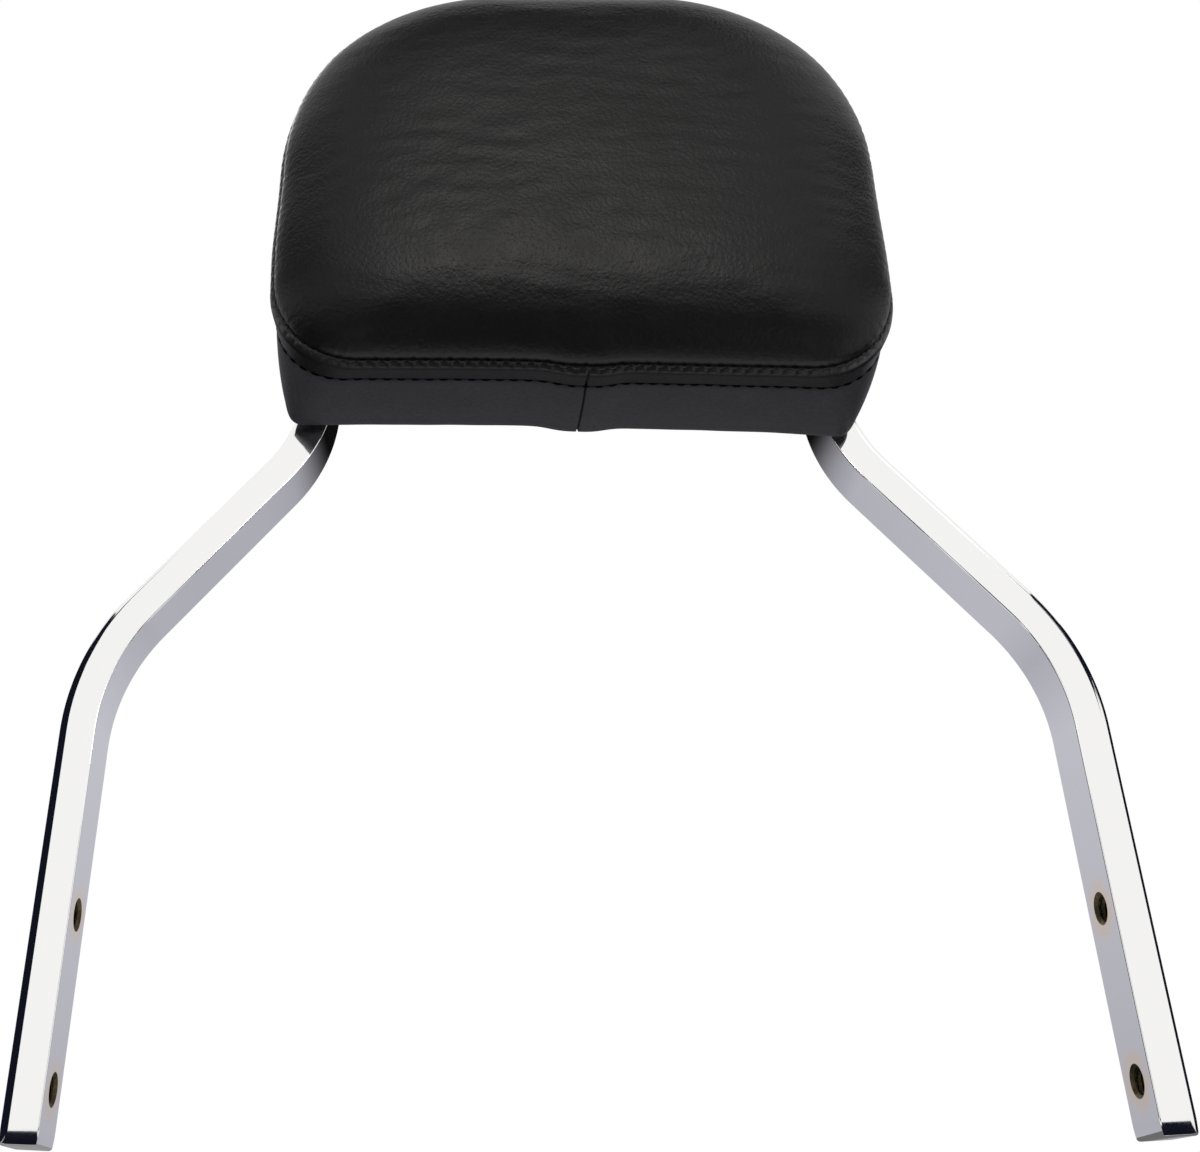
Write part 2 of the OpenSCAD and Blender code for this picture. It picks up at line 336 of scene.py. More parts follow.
def wall_look(graph):
    height = (graph.split(graph.place())[2] - WALL_FOOT) / (WALL_TOP - WALL_FOOT)
    tone = graph.node("ShaderNodeValToRGB", {"stops": WALL_STOPS}, {"Fac": height})
    return graph.node("ShaderNodeEmission", {}, {"Color": tone, "Strength": 1})


card("wall", (0, WALL_Y, (WALL_FOOT + WALL_TOP) / 2), (WALL_HALF_WIDTH, 0, 0),
     (0, 0, (WALL_TOP - WALL_FOOT) / 2), shader_material("wall_grey", wall_look))
print("wall with", len(WALL_STOPS), "tones")

# %% [markdown]
# A photographer blocks light with black flags and cloths. Two flags close to the legs give the dark line down
# their outer edges. The others stand far out, and keep the pad's sides and its lower edge black where they
# would mirror the white world.

# %% Flags
CLOTH_Z = -0.0138
flag_black = shader_material("flag_black", card_look((0.006, 0.007, 0.014, 1)))
FLAGS = {"left_flag": ((-0.215, 0.040, 0.085), (0, 0.220, 0), (0, 0, 0.10)),
         "right_flag": ((0.215, 0.065, 0.085), (0, -0.090, 0), (0, 0, 0.10)),
         "left_gobo": ((-1.4, -0.9, 1.08), (0, 1.5, 0), (0, 0, 0.34)),
         "right_gobo": ((1.4, -0.5, 1.04), (0, -1.1, 0), (0, 0, 0.30)),
         "left_front_gobo": ((-1.08, -0.78, 0.9), (0.23, -0.17, 0), (0, 0, 0.3)),
         "right_front_gobo": ((1.2, -0.58, 0.88), (0.2, 0.17, 0), (0, 0, 0.27)),
         "top_gobo": ((0, -0.6, 1.7), (0.6, 0, 0), (0, 0.45, 0)),
         "front_flag": ((0, -2.2, 0.28), (0.33, 0, 0), (0, 0, 0.30)),
         "front_cloth": ((0, -1.3, CLOTH_Z), (0.9, 0, 0), (0, 0.95, 0)),
         "middle_cloth": ((0, -0.2, CLOTH_Z), (0.10, 0, 0), (0, 0.15, 0))}
for name, (middle, along, up) in FLAGS.items():
    card(name, middle, along, up, flag_black)
print("flags and cloths:", len(FLAGS))

# %% [markdown]
# The sawn ends of the feet face the floor and show a grey there. The polished-over front of each end looks a
# little downwards, and a dark strip on the floor in front of each foot gives it the black band that the
# photograph shows.

# %% Cards at the feet
SHADE_X, SHADE_Y, SHADE_Z = 0.145, 0.0106, -0.0143
SHADE_HALF_X, SHADE_HALF_Y = 0.045, 0.0194
STRIP_Z, STRIP_NEAR_Y, STRIP_FAR_Y = -0.01405, -0.0088, -0.36
for name, side, tone in (("left_foot_shade", -1, 0.30), ("right_foot_shade", 1, 0.16)):
    card(name, (side * SHADE_X, SHADE_Y, SHADE_Z), (SHADE_HALF_X, 0, 0), (0, SHADE_HALF_Y, 0),
         shader_material(name, card_look(grey(tone))))
for name, near, far in (("left_foot_flag", (-0.175, -0.118), (-0.175, -0.29)),
                        ("right_foot_flag", (0.112, 0.175), (0.37, 0.215))):
    corners = [(x, STRIP_NEAR_Y, STRIP_Z) for x in near] + [(x, STRIP_FAR_Y, STRIP_Z) for x in far]
    unseen(studio_piece(name, corners, flag_black))
print("the feet have their cards")

# %% [markdown]
# Behind the pad the uprights go up into its shadow. One more card gives them that dark, and it is clear at
# its lower edge, so that the tone changes softly along the bar.

# %% Shade behind the pad
SHADE_RISE = (0.135, 0.235)
SHADE_BLACK = 0.004


def shade_look(graph):
    """Clear at its lower edge and black higher up."""
    height = graph.split(graph.place())[2]
    clear = graph.node("ShaderNodeBsdfTransparent")
    black = graph.node("ShaderNodeEmission", {}, {"Color": grey(SHADE_BLACK), "Strength": 1})
    return graph.node("ShaderNodeMixShader", {}, {0: height.step(*SHADE_RISE), 1: clear, 2: black})


card("upper_shade", (0, 0.15, 0.21), (0.16, 0, 0), (0, 0, 0.08), shader_material("shade", shade_look))
print("shade from z", SHADE_RISE[0], "to", SHADE_RISE[1], "m")

# %% [markdown]
# ## Chrome
# Chrome plate is almost a mirror. What makes it look real is small: polishing haze in soft patches, a very
# slow unevenness under the plate, and a trace of warm staining around the bolt holes.

# %% Chrome
HOLE_SPOTS = [(side * x, 0, z) for side in (-1, 1) for x, z in ((0.1365, 0.0), (0.1342, 0.0434))]
STAIN_REACH = (0.005, 0.0095)
CHROME_TONES = ((0.905, 0.90, 0.89, 1), (0.88, 0.875, 0.87, 1))
STAIN_TONE = (1.0, 0.84, 0.64, 1)
STEEL_TONES = ((0.07, 0.055, 0.03, 1), (0.19, 0.155, 0.09, 1))


def distance_to(graph, where, point):
    return graph.node("ShaderNodeVectorMath", {"operation": "DISTANCE"}, {0: where, 1: point}, "Value")


def chrome(graph):
    where = graph.place()
    haze = graph.noise(where, 0.030, detail=3)
    fine = graph.noise(where, 0.0012, detail=2)
    stain = sum(1 - distance_to(graph, where, spot).step(*STAIN_REACH) for spot in HOLE_SPOTS)
    stain = stain * graph.noise(where, 0.004, detail=2).step(0.2, 0.6)
    colour = graph.mix(graph.mix(*CHROME_TONES, haze), STAIN_TONE, stain)
    return {"Base Color": colour, "Metallic": 1.0, "Roughness": haze.step(0.4, 0.8) * 0.05 + 0.035,
            "Normal": graph.bump(graph.noise(where, 0.016, detail=1) + fine * 0.01, 0.00004)}


def tapped_steel(graph):
    """Bare, oily steel, as inside a tapped hole."""
    dirt = graph.noise(graph.place(), 0.0015, detail=4)
    return {"Base Color": graph.mix(*STEEL_TONES, dirt.step(0.4, 0.8)), "Metallic": 0.85,
            "Roughness": dirt * 0.3 + 0.42, "Normal": graph.bump(dirt, 0.00008)}


print("chrome and tapped steel:", finish("chrome", chrome).name, finish("tapped_steel", tapped_steel).name)

# %% [markdown]
# ## The hoop
# The real hoop is one length of flat bar, bent six times. We sweep the bar's rounded section along a line of
# straights and bends, with many more steps than the CAD solid has, because chrome shows every facet. The sizes
# are those of the CAD source, in millimetres. Only the small edges are a little sharper here.

# %% Sizes of the hoop
BAR_T, BAR_D, EDGE_FRONT, EDGE = 10.0, 17.5, 2.6, 0.35
FOOT_GAP, LEG_SPLAY, KNEE_H, ARM_SLOPE = 273.0, 3.0, 123.5, 41.0
UPRIGHT_GAP, UPRIGHT_H = 139.0, 58.7
KNEE_R, SHOULDER_R, CORNER_R = 55.0, 50.0, 28.0
HOLE_FOOT, HOLE_PITCH, HOLE_R, HOLE_DEPTH, MOUTH_R = 14.0, 43.5, 3.4, 7.5, 4.3


def tan(degrees):
    return math.tan(math.radians(degrees))


def outward(angle):
    return np.array([math.cos(math.radians(angle)), math.sin(math.radians(angle))])


def onward(point, angle, length):
    return point + length * np.array([-math.sin(math.radians(angle)), math.cos(math.radians(angle))])


foot_z = -HOLE_FOOT * math.cos(math.radians(LEG_SPLAY))
foot = np.array([FOOT_GAP / 2, foot_z])
knee_x = FOOT_GAP / 2 - KNEE_H * tan(LEG_SPLAY)
shoulder_h = KNEE_H + (knee_x - UPRIGHT_GAP / 2) / tan(ARM_SLOPE)
knee_cut = KNEE_R * tan((ARM_SLOPE - LEG_SPLAY) / 2)
shoulder_cut = SHOULDER_R * tan(ARM_SLOPE / 2)
leg_length = KNEE_H / math.cos(math.radians(LEG_SPLAY)) - knee_cut
arm_length = (shoulder_h - KNEE_H) / math.cos(math.radians(ARM_SLOPE)) - knee_cut - shoulder_cut
corner_z = foot_z + shoulder_h + shoulder_cut + UPRIGHT_H
plate_z = corner_z - UPRIGHT_H / 2
print("hoop top at", round(corner_z + CORNER_R + BAR_T, 2), "mm, plate middle at", round(plate_z, 2))

# %% [markdown]
# A bend is a fan of stations round its centre. Each station is a point on the bar's inner line and the angle
# of the outward direction there.

# %% The line of the hoop
BEND_STEPS = 44


def bend(centre, radius, start, end):
    angles = [start + (end - start) * i / BEND_STEPS for i in range(BEND_STEPS + 1)]
    return [(centre + radius * outward(a), a) for a in angles]


knee_middle = onward(foot, LEG_SPLAY, leg_length) - KNEE_R * outward(LEG_SPLAY)
arm_start = knee_middle + KNEE_R * outward(ARM_SLOPE)
shoulder_middle = onward(arm_start, ARM_SLOPE, arm_length) + SHOULDER_R * outward(ARM_SLOPE)
corner_middle = np.array([UPRIGHT_GAP / 2 - CORNER_R, corner_z])
half = (bend(knee_middle, KNEE_R, LEG_SPLAY, ARM_SLOPE) + bend(shoulder_middle, -SHOULDER_R, ARM_SLOPE, 0)
        + bend(corner_middle, CORNER_R, 0, 90))
stations = half + [(np.array([-p[0], p[1]]), 180 - a) for p, a in reversed(half)]
print("stations along the hoop:", len(stations))

# %% [markdown]
# The section has one large rounding, on the outer front edge, and three small ones. A polishing wheel rounds
# the sawn end of each foot over its last millimetre, and wears the faces down a little over the last five. We
# make both by drawing the section in: inset says how far, at a distance s from the end.

# %% Section and rings
EDGE_STEPS = 6
LEAST_EDGE = 0.2
END_ROUND = 0.8
END_DROP, END_REACH = 0.22, 5.0
ROUND_STEPS, DROP_STEPS = 7, 13
LEG_SHARE = 0.7


def corner(x, y, radius, start):
    angles = np.radians([start + 90 * i / EDGE_STEPS for i in range(EDGE_STEPS + 1)])
    return [(x + radius * math.cos(a), y + radius * math.sin(a)) for a in angles]


def section(inset=0.0):
    big, small = max(EDGE_FRONT - inset, LEAST_EDGE), max(EDGE - inset, LEAST_EDGE)
    near, far, deep = inset, BAR_T - inset, BAR_D / 2 - inset
    return (corner(near + small, small - deep, small, 180) + corner(far - big, big - deep, big, 270)
            + corner(far - small, deep - small, small, 0) + corner(near + small, deep - small, small, 90))


def bar_ring(point, angle, inset=0.0):
    out = outward(angle)
    return [(point[0] + x * out[0], y, point[1] + x * out[1]) for x, y in section(inset)]


def end_rings(end, angle, direction):
    turns = np.radians(np.linspace(0, 90, ROUND_STEPS))
    stops = [(END_ROUND * (1 - math.cos(t)), END_ROUND * (1 - math.sin(t)) + END_DROP) for t in turns]
    stops += [(s, END_DROP * ((END_REACH - s) / (END_REACH - END_ROUND)) ** 2)
              for s in np.linspace(END_ROUND, END_REACH, DROP_STEPS)[1:]]
    return [bar_ring(onward(end, angle, direction * s), angle, inset) for s, inset in stops]


left_foot, left_angle = np.array([-foot[0], foot[1]]), 180 - LEG_SPLAY
leg_stops = (END_REACH + 1, leg_length * LEG_SHARE)
right_leg = end_rings(foot, LEG_SPLAY, 1) + [bar_ring(onward(foot, LEG_SPLAY, s), LEG_SPLAY) for s in leg_stops]
left_leg = end_rings(left_foot, left_angle, -1)
left_leg += [bar_ring(onward(left_foot, left_angle, -s), left_angle) for s in leg_stops]
rings = right_leg + [bar_ring(p, a) for p, a in stations] + left_leg[::-1]
print("rings of the bar:", len(rings), "with", len(rings[0]), "points each")

# %% [markdown]
# One helper turns rings of points into a mesh, here and for the pad. It works in millimetres and writes
# metres.

# %% Rings to meshes
MM = 0.001


def mesh_piece(name, points, faces, material):
    mesh = bpy.data.meshes.new(name)
    mesh.from_pydata((np.asarray(points) * MM).tolist(), [], faces)
    mesh.validate()
    mesh.shade_smooth()
    mesh.materials.append(material)
    piece = bpy.data.objects.new(name, mesh)
    scene.collection.objects.link(piece)
    return piece


def sides(count, first, second):
    """Faces between two rings of count points, numbered from first and second."""
    return [(first + i, first + (i + 1) % count, second + (i + 1) % count, second + i) for i in range(count)]


def swept(name, all_rings, material, closed=False):
    """A skin over rings of points. A closed one joins its last ring to its first, others get two end caps."""
    count, total = len(all_rings[0]), len(all_rings)
    faces = []
    for j in range(total if closed else total - 1):
        faces += sides(count, j * count, (j + 1) % total * count)
    if not closed:
        faces += [tuple(reversed(range(count))), tuple(range((total - 1) * count, total * count))]
    return mesh_piece(name, np.concatenate([np.asarray(r) for r in all_rings]), faces, material)


def set_outside(piece):
    """Points every face outward."""
    data = bmesh.new()
    data.from_mesh(piece.data)
    bmesh.ops.recalc_face_normals(data, faces=data.faces)
    data.to_mesh(piece.data)
    data.free()


hoop = swept("hoop_bar", rings, finish("chrome", chrome))
set_outside(hoop)
print("hoop faces:", len(hoop.data.polygons))

# %% [markdown]
# Each leg has two blind holes in its inner face, with a countersunk mouth and a tapped wall behind it. A
# cutter with a real thread on it is taken away from the bar. The cut keeps each face's slot number, so the
# walls of the hole get the bar's second finish, bare steel.

# %% Bolt holes
THREAD_PITCH, THREAD_R = 1.25, 4.0
THREAD_START, THREAD_END, THREAD_RUN = 0.9, HOLE_DEPTH - 0.6, 0.5
TURN_STEPS, DEPTH_STEP, CUTTER_START = 40, 0.125, -0.5
STEEL_SLOT = 1


def hole_radius(depth, turn):
    """The thread is a ridge that climbs one pitch a turn and fades out at both ends."""
    ridge = 1 - abs(2 * ((depth / THREAD_PITCH - turn) % 1) - 1)
    start = min(max((depth - THREAD_START) / THREAD_RUN, 0), 1)
    end = min(max((THREAD_END - depth) / THREAD_RUN, 0), 1)
    inner = HOLE_R + (THREAD_R - HOLE_R) * ridge * start * end
    return max(inner, MOUTH_R - max(depth, 0))


def cutter_rings(side, height):
    angle = LEG_SPLAY if side > 0 else 180 - LEG_SPLAY
    out, start = outward(angle), onward(np.array([side * foot[0], foot[1]]), angle, side * height)
    along = onward(np.zeros(2), angle, side)
    found = []
    for depth in np.arange(CUTTER_START, HOLE_DEPTH + DEPTH_STEP / 2, DEPTH_STEP):
        ring = []
        for k in range(TURN_STEPS):
            turn = k / TURN_STEPS
            r = hole_radius(depth, turn)
            flat = start + depth * out + r * math.sin(2 * math.pi * turn) * along
            ring.append((flat[0], r * math.cos(2 * math.pi * turn), flat[1]))
        found.append(ring)
    return found


hoop.data.materials.append(finish("tapped_steel", tapped_steel))
for side in (-1, 1):
    for height in (HOLE_FOOT, HOLE_FOOT + HOLE_PITCH):
        cutter = swept("cutter", cutter_rings(side, height), finish("chrome", chrome))
        set_outside(cutter)
        cutter.data.materials.append(finish("tapped_steel", tapped_steel))
        for face in cutter.data.polygons:
            face.material_index = STEEL_SLOT
        cut = hoop.modifiers.new("hole", "BOOLEAN")
        cut.object, cut.operation, cut.solver = cutter, "DIFFERENCE", "EXACT"
        bpy.context.view_layer.update()
        holed = bpy.data.meshes.new_from_object(hoop.evaluated_get(bpy.context.evaluated_depsgraph_get()))
        hoop.modifiers.clear()
        hoop.data = holed
        bpy.data.objects.remove(cutter)
print("faces after drilling:", len(hoop.data.polygons), "finishes:", [m.name for m in hoop.data.materials])

# %% [markdown]
# Flat faces beside small roundings need weighted normals. Without them the mirror would show soft dents along
# every edge.

# %% Normals of the hoop
SHARP_ANGLE = math.radians(40)
FLAT_WEIGHT = 80
hoop.data.shade_smooth()
hoop.data.set_sharp_from_angle(angle=SHARP_ANGLE)
weighted = hoop.modifiers.new("flat faces", "WEIGHTED_NORMAL")
weighted.keep_sharp = True
weighted.weight = FLAT_WEIGHT
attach(hoop, "root")
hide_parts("hoop")
print("the hoop stands for its CAD solid")

# %% [markdown]
# ## The shape of the pad
# The pad is D-shaped, with large upper corners. Its rings are outlines at a depth t, from 0 at the front seam
# to 1 at the back, grown outward by d. All rings have the same number of points, spread evenly from the middle
# of the lower edge, so that stitches can be counted along them. The sizes are those of the CAD source, but for
# a tighter lower corner at the back.

# %% Sizes of the pad
PAD_W, PAD_H, PAD_DROP, BOXING_D, CROWN = 169.0, 124.5, 44.2, 34.0, 16.0
LOW_R, TOP_R, BACK_W, BACK_DROP, BACK_R = 24.0, 62.0, 162.0, 3.0, 4.5
WELT_W, SKIN, HEM_W = 8.0, 1.2, 16.0
PANEL_T, STAPLE_T, PAD_FIT = 1.5, 0.6, 0.2
pad_z = plate_z - PAD_DROP
seam_y = -BAR_D / 2 - BOXING_D
hem_y = -BAR_D / 2 - PANEL_T - STAPLE_T - PAD_FIT
welt_t = WELT_W / (hem_y - seam_y)
print("front seam at y", seam_y, "hem at y", hem_y, "lower seam at z", round(pad_z, 2))

# %% Outlines of the pad
ARC_STEPS = 48
LEAST_CORNER = 0.6


def blend(a, b, t):
    return a + (b - a) * t


def arc(cx, cz, radius, start, end):
    turns = np.radians(np.linspace(start, end, ARC_STEPS))
    return np.stack([cx + radius * np.cos(turns), cz + radius * np.sin(turns)], 1)


def outline(t, d, count):
    """count points round the pad, from the middle of the lower edge, to the right and up."""
    width = blend(PAD_W, BACK_W, t) + 2 * d
    low, high = pad_z - BACK_DROP * t - d, pad_z + PAD_H + d
    low_r, top_r = max(blend(LOW_R, BACK_R, t) + d, LEAST_CORNER), max(TOP_R + d, LEAST_CORNER)
    line = np.concatenate([[(0, low)], arc(width / 2 - low_r, low + low_r, low_r, -90, 0),
                           arc(width / 2 - top_r, high - top_r, top_r, 0, 90), [(0, high)]])
    run = np.concatenate([[0], np.cumsum(np.linalg.norm(np.diff(line, axis=0), axis=1))])
    stops = np.linspace(0, run[-1], count // 2 + 1)
    right = np.stack([np.interp(stops, run, line[:, k]) for k in (0, 1)], 1)
    left = right[-2:0:-1] * (-1, 1)
    return np.concatenate([right, left])


seam_length = np.linalg.norm(np.diff(outline(0, 0, 2000), axis=0), axis=1).sum()
print("length of the front seam:", round(float(seam_length), 1), "mm")

# %% [markdown]
# A sewn edge is never a perfect line. It wanders a little, and the strip's butt join in the middle of the
# lower edge is thicker, so the cover bulges there on both sides of a slanted groove.

# %% Unevenness of the sewing
STITCH_A, STITCH_B = 3.3, 3.8
row_a, row_b = round(seam_length / STITCH_A), round(seam_length / STITCH_B)
WAVES = (3, 5, 8, 13, 17, 23, 29, 37, 45)
SEAM_SEED, SEAM_WANDER = 4, 0.22


def hump(x, middle, reach):
    """1 at the middle, falling smoothly to 0 beyond the reach."""
    return np.exp(-((x - middle) / reach) ** 2)


def wander(run, size):
    """A slow wave along the seam; run goes from 0 to 1 round the pad."""
    phases = np.random.default_rng(SEAM_SEED).uniform(0, 2 * math.pi, len(WAVES))
    waves = [np.sin(2 * math.pi * k * run + phase) / k ** 0.6 for k, phase in zip(WAVES, phases)]
    return size * sum(waves) / 2.2


def pinch(run, stitches, width):
    """1 at each needle hole of a row, 0 between them."""
    away = np.abs((run * stitches) % 1 - 0.5) * 2
    return hump(away, 1, width)


print("stitches:", row_a, "in the front row,", row_b, "in the second row")

# %% The join in the boxing
JOIN_FRONT_X, JOIN_BACK_X, JOIN_HALF = 0.9, -0.2, 9.0
JOIN_HEIGHT, GROOVE_HALF, GROOVE_DEPTH = 12, 0.3, 1.0
SLANT_REACH, GATHER, GATHER_REACH = 14, 0.5, 1.4


def near_join(points):
    """How close points lie to the join: 1 on it, 0 beyond its bulge; and the depth of its groove."""
    x, low = points[:, 0], points[:, 1] < pad_z + JOIN_HEIGHT
    return np.exp(-(np.abs(x) / JOIN_HALF) ** 3) * low, hump(x, 0, GROOVE_HALF) * low


def slanted(points, t):
    """Moves the points near the join so that one of them always lies on its slanted line."""
    x = points[:, 0]
    near = hump(x, 0, SLANT_REACH) * (points[:, 1] < pad_z + JOIN_HEIGHT)
    x = x * (1 - GATHER * hump(x, 0, GATHER_REACH)) + blend(JOIN_FRONT_X, JOIN_BACK_X, t) * near
    return np.stack([x, points[:, 1]], 1)


print("the join runs from x", JOIN_FRONT_X, "in front to", JOIN_BACK_X, "behind")

# %% [markdown]
# The real cover isn't quite the symmetrical D that it was cut to. Its lower edge hangs lower to the right, its
# top is drawn down, and its sides bulge and pull in. Pairs give the left and right side in x, or the front and
# back in depth. Heights are shares of the pad's height. The foam solid inside keeps its plain shape, so with
# the top drawn down this far a strip of foam shows along the top from above: a known fault.

# %% How the cover settled
LOW_HANG, LOW_SHARE, HANG_FROM, HANG_RUN = 2.6, 0.55, -45, 120
CORNER_HANG, CORNER_X, CORNER_REACH = (0.4, 1.3), 78, 16
TOP_SINK, TOP_SHARE = 2.0, 0.80
SHOULDER_OUT, SHOULDER_SHARE, SHOULDER_REACH = (0.6, -0.2), 0.58, 0.17
WAIST_OUT, WAIST_SHARE, WAIST_REACH = (-0.8, 0.6), 0.28, 0.12
LEFT_SIDE, RIGHT_SIDE, SIDE_SHARE, SIDE_REACH = (-1.1, -2.5), (1.5, -1.9), -0.02, 0.22
SIDE_FROM, SIDE_RUN = 30, 45


def ramp(x, start, run):
    return np.clip((x - start) / run, 0, 1)


def settled(ring, t):
    x, z = ring[:, 0], ring[:, 1]
    up = (z - pad_z) / PAD_H
    low = np.clip(1 - up / LOW_SHARE, 0, 1) ** 1.5
    right = ramp(x, HANG_FROM, HANG_RUN)
    right = right * right * (3 - 2 * right)
    sink = low * (LOW_HANG * right + hump(x, CORNER_X, CORNER_REACH) * blend(*CORNER_HANG, t))
    sink = sink + TOP_SINK * ramp(up, TOP_SHARE, 1 - TOP_SHARE) ** 1.1
    shoulder = hump(up, SHOULDER_SHARE, SHOULDER_REACH) * (1 - 0.25 * t)
    waist = hump(up, WAIST_SHARE, WAIST_REACH)
    moved = np.where(x < 0, SHOULDER_OUT[0] * shoulder + WAIST_OUT[0] * waist,
                     SHOULDER_OUT[1] * shoulder + WAIST_OUT[1] * waist)
    sideways = (ramp(-x, SIDE_FROM, SIDE_RUN) ** 2 * blend(*LEFT_SIDE, t)
                + ramp(x, SIDE_FROM, SIDE_RUN) ** 2 * blend(*RIGHT_SIDE, t))
    return np.stack([x + moved + hump(up, SIDE_SHARE, SIDE_REACH) * sideways, z - sink], 1)


def outward_normals(ring):
    step = np.roll(ring, -1, axis=0) - np.roll(ring, 1, axis=0)
    normal = np.stack([step[:, 1], -step[:, 0]], 1)
    return normal / np.linalg.norm(normal, axis=1)[:, None]


print("the lower edge hangs", LOW_HANG, "mm lower on the right")

# %% [markdown]
# ## The boxing and its welt
# The strip round the pad is sewn to the front panel, rolled over into a welt 8 mm wide, sewn again, drawn back
# over the foam and turned in behind the board. We describe it by its section: pairs of depth t and rise d.

# %% Section of the boxing
ROLL_HEIGHT, ROLL_SHARE, ROLL_START = 1.9, 0.28, -1.05
FALL, FALL_SHARE = 1.2, 0.25
TUCK, TUCK_REACH = 0.30, 0.035
WELT_STOPS = (0, 0.01, 0.02, 0.035, 0.05, 0.07, 0.09, 0.12, 0.15, 0.19, 0.24, 0.32, 0.40, 0.50, 0.60, 0.70, 0.80,
              0.87, 0.92, 0.95, 0.975, 1.0)
SWELL = ((1.025, -0.24), (1.05, -0.06), (1.1, 0.10), (1.2, 0.24), (1.35, 0.42))
BODY_FROM, BODY_TO, BODY_STEPS = 0.42, 0.86, 16
FULLEST, FULL_RISE, FULL_BEND = 0.55, 0.7, 6.5
BACK_EDGE = [(0.89, 0.0), (0.92, -0.12), (0.945, -0.26), (0.965, -0.42), (0.98, -0.62), (0.99, -0.85), (1.0, -1.3)]


def welt_rise(u):
    """The roll between the two rows: steep from the front seam, then falling slowly to the second row."""
    roll = math.sqrt(1 - max(0, 1 - u / ROLL_SHARE) ** 2)
    return ROLL_START + ROLL_HEIGHT * roll - FALL * max(u - FALL_SHARE, 0) - TUCK * hump(u, 1, TUCK_REACH)


def boxing_section():
    """Stops lie close together at both seams, where the section turns fast."""
    welt = [(welt_t * u, welt_rise(u)) for u in WELT_STOPS]
    swell = [(welt_t * u, rise) for u, rise in SWELL]
    body = [(t, FULL_RISE - FULL_BEND * (t - FULLEST) ** 2) for t in np.linspace(BODY_FROM, BODY_TO, BODY_STEPS)]
    return welt + swell + body + BACK_EDGE


print("rings on the outside of the boxing:", len(boxing_section()))

# %% [markdown]
# Each ring gets the unevenness of the sewing. The rise at the join and along the seam is shared with the
# stitches, so that the threads lie on the leather. The needle holes of the first row pinch the welt, and the
# thread of the second row draws the strip in between its holes.

# %% Build the boxing
LOOP = 1040
JOIN_RISE, JOIN_RISE_IN_SEAM, SEAM_END = 1.5, 1.1, 0.04
ROW_A_PINCH, ROW_A_AT, ROW_A_REACH, ROW_A_HOLE = 0.48, 0.04, 0.08, 0.2
ROW_B_PINCH, ROW_B_AT, ROW_B_REACH, ROW_B_HOLE = 0.35, 1.0, 0.045, 0.22
run_round = np.arange(LOOP) / LOOP


def sewn(t):
    """The strip's outline at depth t, its rise over that outline, and the groove of its join."""
    flat = outline(t, 0, LOOP)
    u = t / welt_t
    bulge, groove = near_join(flat)
    rise = bulge * (JOIN_RISE if u > SEAM_END else JOIN_RISE_IN_SEAM)
    rise = rise + wander(run_round, SEAM_WANDER) * min(max(u, 0.2), 1)
    return settled(slanted(flat, t), t), rise, groove


def boxing_ring(t, d):
    ring, rise, groove = sewn(t)
    u = t / welt_t
    lift = d + rise - groove * GROOVE_DEPTH
    lift = lift - ROW_A_PINCH * pinch(run_round, row_a, ROW_A_HOLE) * hump(u, ROW_A_AT, ROW_A_REACH)
    lift = lift - ROW_B_PINCH * (1 - pinch(run_round, row_b, ROW_B_HOLE)) * hump(u, ROW_B_AT, ROW_B_REACH)
    moved = ring + outward_normals(ring) * lift[:, None]
    return np.stack([moved[:, 0], np.full(LOOP, blend(seam_y, hem_y, t)), moved[:, 1]], 1)


def plain_ring(t, d, y):
    ring = settled(outline(t, d, LOOP), t)
    return np.stack([ring[:, 0], np.full(LOOP, y), ring[:, 1]], 1)


boxing_rings = [boxing_ring(t, d) for t, d in boxing_section()]
# The hem is turned in behind the board. The inner skin then goes back to the front seam, unseen.
boxing_rings += [plain_ring(1, -2.6, hem_y + 0.05), plain_ring(1, -SKIN - HEM_W, hem_y)]
boxing_rings += [plain_ring(1, -SKIN - HEM_W, hem_y - SKIN), plain_ring(0.95, -SKIN - 1.2, hem_y - SKIN)]
boxing_rings += [plain_ring(0.5, -SKIN - 0.3, blend(seam_y, hem_y, 0.5))]
boxing_rings += [plain_ring(0.02, -SKIN - 0.9, seam_y + 0.7)]
print("boxing rings:", len(boxing_rings))

# %% [markdown]
# ## Leather
# The cover is black, grained leather cloth with a dull gloss. Three sizes of relief make it: a pebble grain
# under a millimetre, creases that run mostly sideways, and soft hollows where the foam gives. The pebbles are
# a Voronoi pattern bent by noise, because clean cells look like scales.

# %% Grain of the leather
PEBBLE, SMALL_PEBBLE = 0.00105, 0.00052
CREASE_STRETCH = (0.34, 1, 1)


def grained(graph, where, grain_height, crease_height):
    """The relief of the leather, its pebbles and the soft patches in it."""
    drift = graph.node("ShaderNodeTexNoise", {}, {"Vector": where, "Scale": 520, "Detail": 2}, "Color")
    drift = graph.node("ShaderNodeVectorMath", {"operation": "SCALE"}, {0: drift, "Scale": 0.0007})
    bent = graph.node("ShaderNodeVectorMath", {"operation": "ADD"}, {0: where, 1: drift})
    pebble = graph.cells(bent, PEBBLE, "SMOOTH_F1")
    patches = graph.noise(where, 0.035, detail=3)
    height = pebble * (-0.75) + graph.cells(bent, SMALL_PEBBLE) * (-0.3) + graph.noise(where, 0.0022) * 0.35
    crease = graph.node("ShaderNodeTexNoise", {"noise_type": "RIDGED_MULTIFRACTAL"}, {
        "Vector": graph.scaled(bent, CREASE_STRETCH), "Scale": 210, "Detail": 3, "Roughness": 0.55})
    creases = crease.step(0.5, 1.6) * patches.step(0.35, 0.7)
    return graph.bump(creases, crease_height, graph.bump(height, grain_height)), pebble, patches


